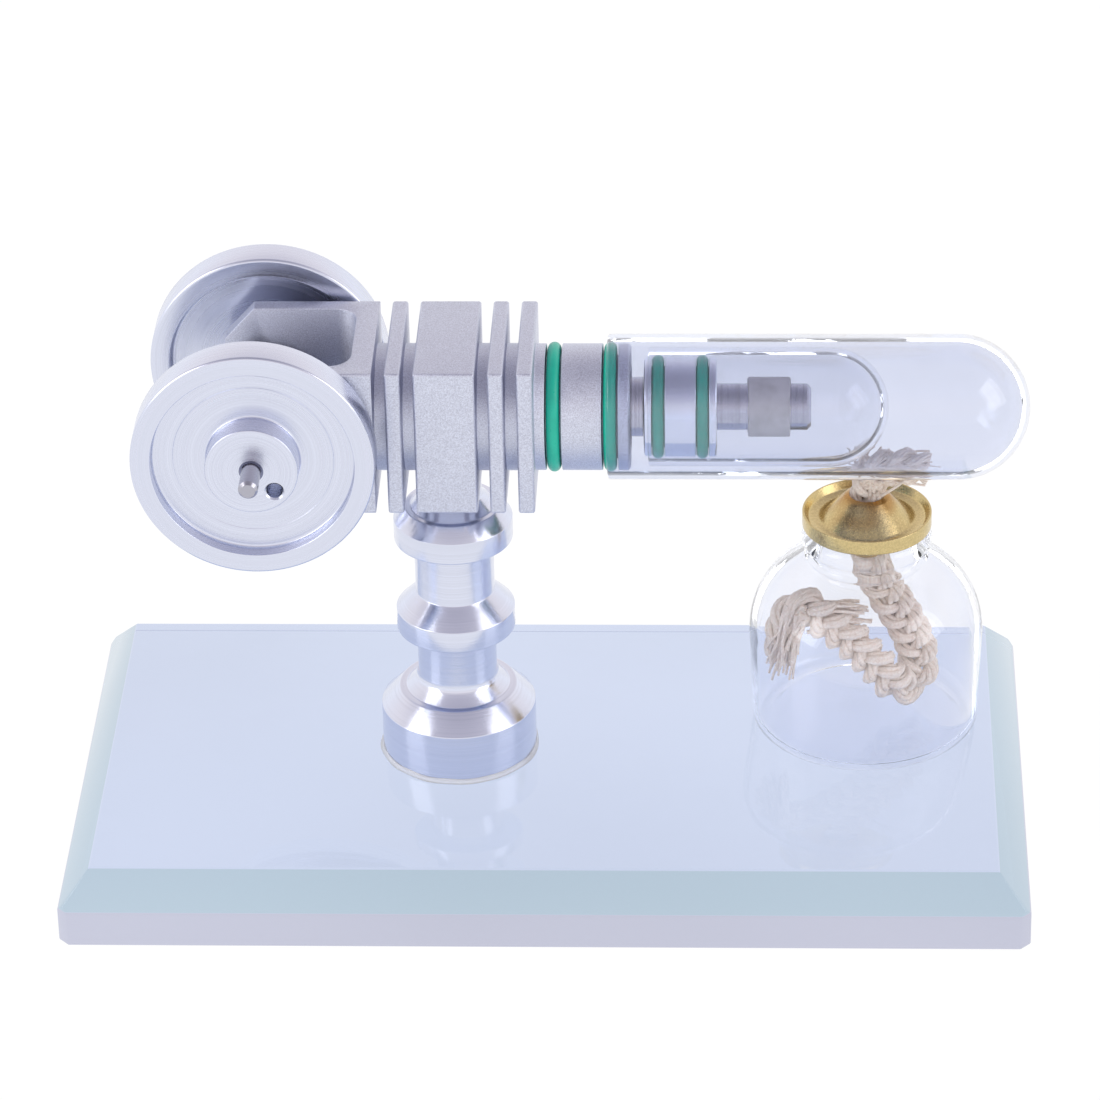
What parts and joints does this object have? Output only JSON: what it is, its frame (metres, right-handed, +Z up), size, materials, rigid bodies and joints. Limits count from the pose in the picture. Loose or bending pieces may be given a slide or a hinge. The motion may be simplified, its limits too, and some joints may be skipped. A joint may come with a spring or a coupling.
{
  "type": "stirling engine model",
  "caption": "Desk model of a beta stirling engine with two flywheels, finned aluminium block on a turned post, glass hot tube, glass base plate and spirit lamp.",
  "frame": {"origin": "centre of the underside of the glass plate", "axes": "+Z up; +X along the cylinder from the crankshaft towards the hot end; Y along the crankshaft, the lamp side of the fork being the same on both sides"},
  "size_m": [0.15, 0.082, 0.0911],
  "materials": {
    "plate_glass": "polished crystal glass",
    "turned_aluminium": "fine turned",
    "clear_glue": "clear hardened glue",
    "steel": "ground",
    "blasted_aluminium": "bead blasted",
    "liner_steel": "honed",
    "seal_rubber": "moulded O-ring",
    "tube_glass": "clear borosilicate",
    "flywheel_aluminium": "satin turned",
    "graphite": "ground graphite",
    "gland_metal": "turned, dark",
    "rod_aluminium": "milled",
    "plug_aluminium": "polished",
    "stem_steel": "polished",
    "sleeve_rubber": "silicone tube",
    "bottle_glass": "clear blown glass",
    "wick_brass": "turned brass, heat stained",
    "wick_cotton": "braided cotton"
  },
  "bodies": {
    "frame": {"base_plate": "plate_glass", "post": "turned_aluminium", "glue_bead": "clear_glue", "post_stud": "steel", "engine_block": "blasted_aluminium", "cylinder_liner": "liner_steel", "spigot_seal_inner": "seal_rubber", "spigot_seal_outer": "seal_rubber", "hot_tube": "tube_glass", "bearing_cup_front": "steel", "bearing_cup_rear": "steel"},
    "crankshaft": {"bearing_cone_front": "steel", "bearing_cone_rear": "steel", "bearing_balls_front": "steel", "bearing_balls_rear": "steel", "shaft_front": "steel", "shaft_rear": "steel", "spacer_front": "steel", "spacer_rear": "steel", "outer_web_front": "steel", "outer_web_rear": "steel", "inner_web_front": "steel", "inner_web_rear": "steel", "crank_pins": "steel", "flywheel_front": "flywheel_aluminium", "flywheel_rear": "flywheel_aluminium"},
    "piston": {"power_piston": "graphite", "rod_gland": "gland_metal", "piston_pins": "steel"},
    "power_rods": {"power_rod_front": "rod_aluminium", "power_rod_rear": "rod_aluminium", "power_journals": "steel"},
    "displacer": {"displacer_rod": "steel", "displacer_clevis": "rod_aluminium", "displacer_pin": "steel", "displacer_plug": "plug_aluminium", "displacer_seal_inner": "seal_rubber", "displacer_seal_outer": "seal_rubber", "displacer_tube": "tube_glass", "displacer_stem": "stem_steel", "stem_sleeve": "sleeve_rubber"},
    "displacer_conrod": {"displacer_link": "rod_aluminium", "displacer_journal": "steel"},
    "lamp": {"lamp_bottle": "bottle_glass", "wick_holder": "wick_brass", "wick": "wick_cotton"}
  },
  "joints": [
    {"name": "crank_spin", "type": "hinge", "parent": "frame", "child": "crankshaft", "pos_m": [-0.0434, 0, 0.0725], "axis": [0, 1, 0], "continuous": true},
    {"name": "piston_slide", "type": "slide", "parent": "frame", "child": "piston", "axis": [1, 0, 0], "range_m": [-0.00797, 0.00163]},
    {"name": "power_rod_swing", "type": "hinge", "parent": "piston", "child": "power_rods", "pos_m": [-0.01423, 0, 0.0725], "axis": [0, 1, 0], "range_deg": [-3.14, 18.14]},
    {"name": "displacer_slide", "type": "slide", "parent": "frame", "child": "displacer", "axis": [1, 0, 0], "range_m": [-0.00125, 0.00835]},
    {"name": "displacer_link_swing", "type": "hinge", "parent": "displacer", "child": "displacer_conrod", "pos_m": [-0.01095, 0, 0.0725], "axis": [0, 1, 0], "range_deg": [-2.25, 13.07]},
    {"name": "lamp_slide", "type": "slide", "parent": "frame", "child": "lamp", "axis": [0, 1, 0], "range_m": [-0.0265, 0.0095]}
  ]
}
